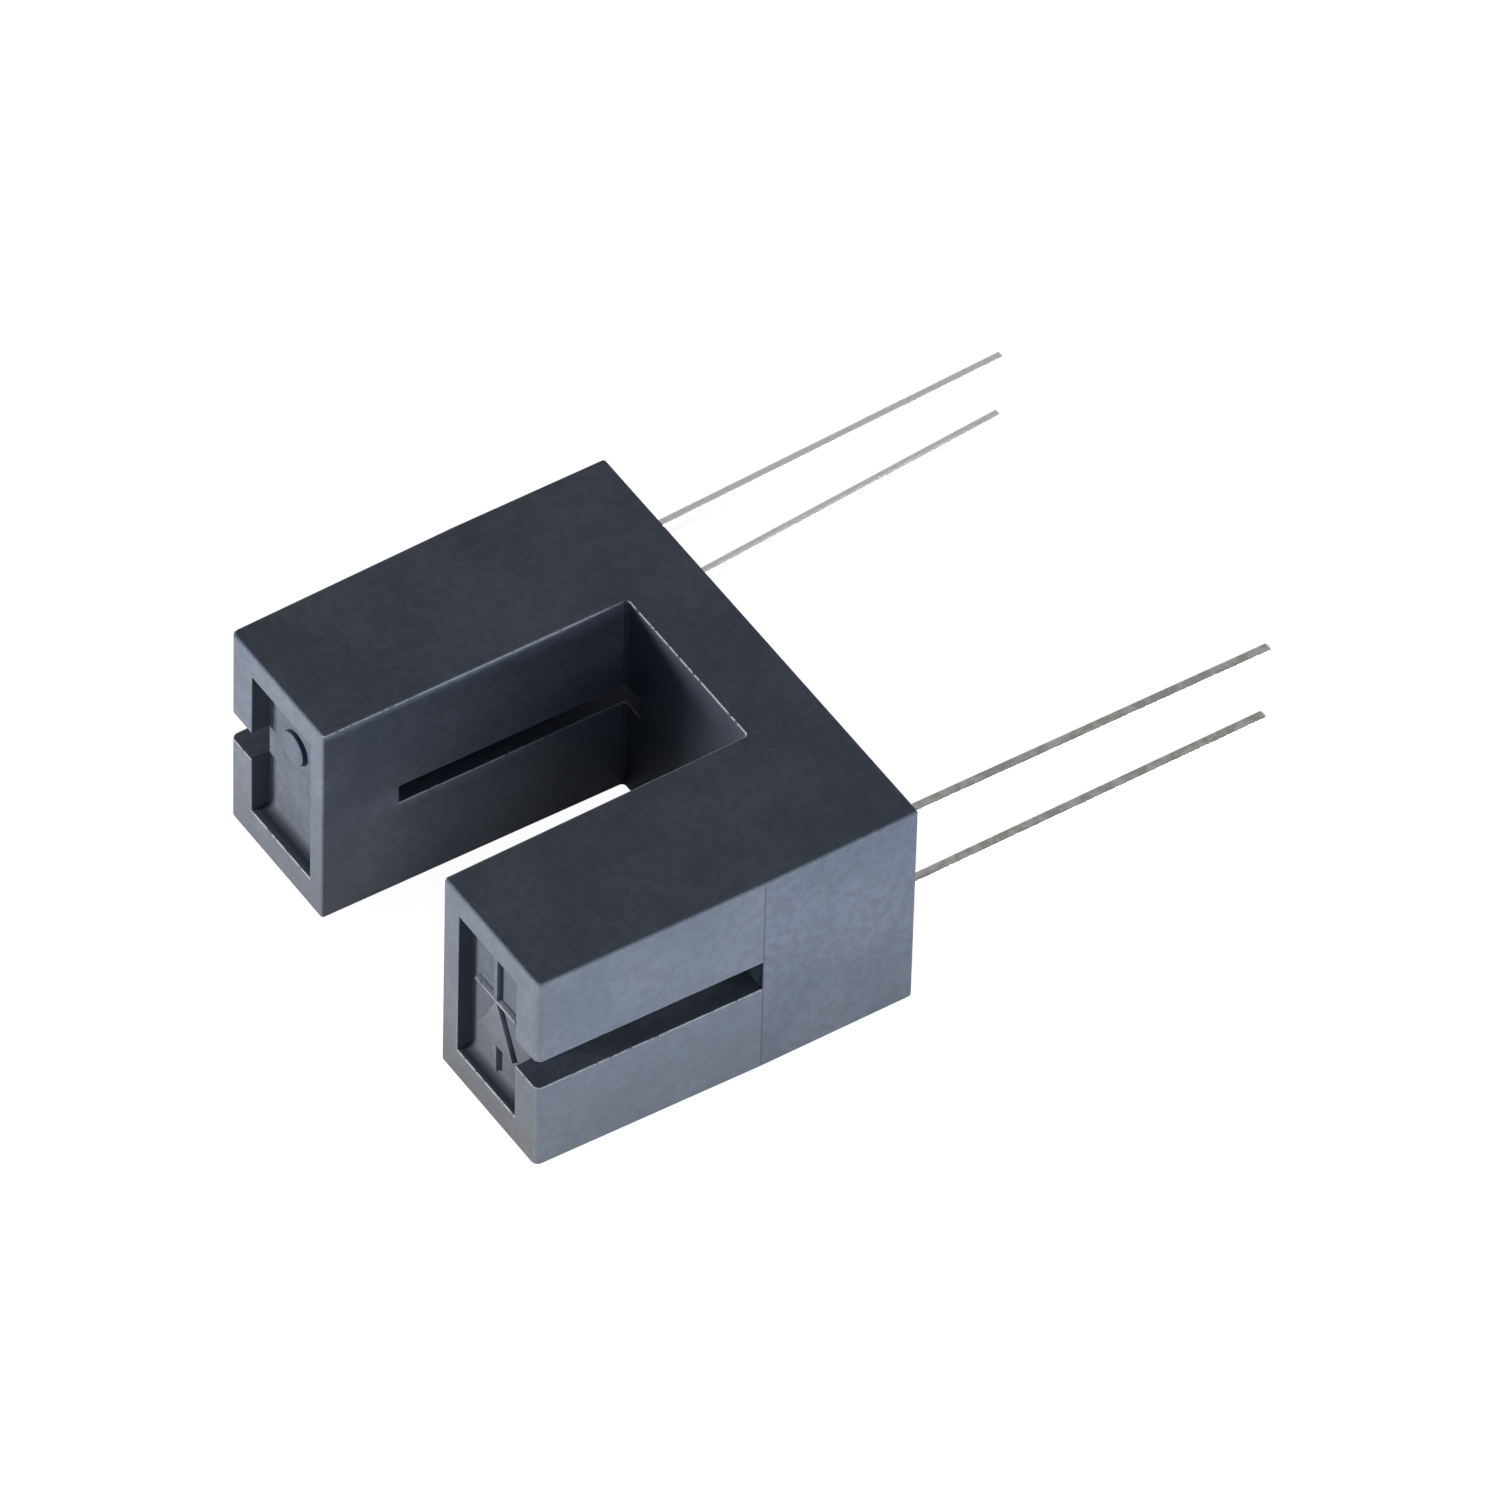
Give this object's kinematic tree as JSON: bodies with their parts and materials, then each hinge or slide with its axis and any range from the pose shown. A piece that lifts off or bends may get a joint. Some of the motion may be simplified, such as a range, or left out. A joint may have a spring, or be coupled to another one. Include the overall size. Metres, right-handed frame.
{
  "type": "slotted optical switch",
  "caption": "Through-hole slotted optical switch: a dark moulded U-shaped body with an open sensing slot between an emitter arm and a detector arm, and long straight leads.",
  "frame": {"origin": "middle of the seating face, where the leads come out, at half the body's thickness", "axes": "+Y along the leads away from the body, +X towards the emitter arm, +Z out of the broad side that faces up"},
  "size_m": [0.0132, 0.0207, 0.0062],
  "materials": {
    "housing_plastic": "fine moulded grain, dark navy grey",
    "clear_epoxy": "clear, faint blue",
    "filter_epoxy": "dark visible-light filter",
    "tinned_lead": "tinned, satin",
    "die": "polished die",
    "silver_adhesive": "silver-filled adhesive",
    "gold_wire": "bright gold"
  },
  "bodies": {
    "root": {"housing": "housing_plastic", "emitter_package": "clear_epoxy", "emitter_cathode_lead": "tinned_lead", "emitter_anode_lead": "tinned_lead", "emitter_chip": "die", "emitter_die_attach": "silver_adhesive", "emitter_bond_wire": "gold_wire", "detector_package": "filter_epoxy", "detector_collector_lead": "tinned_lead", "detector_emitter_lead": "tinned_lead", "detector_chip": "die", "detector_die_attach": "silver_adhesive", "detector_bond_wire": "gold_wire"}
  },
  "joints": []
}
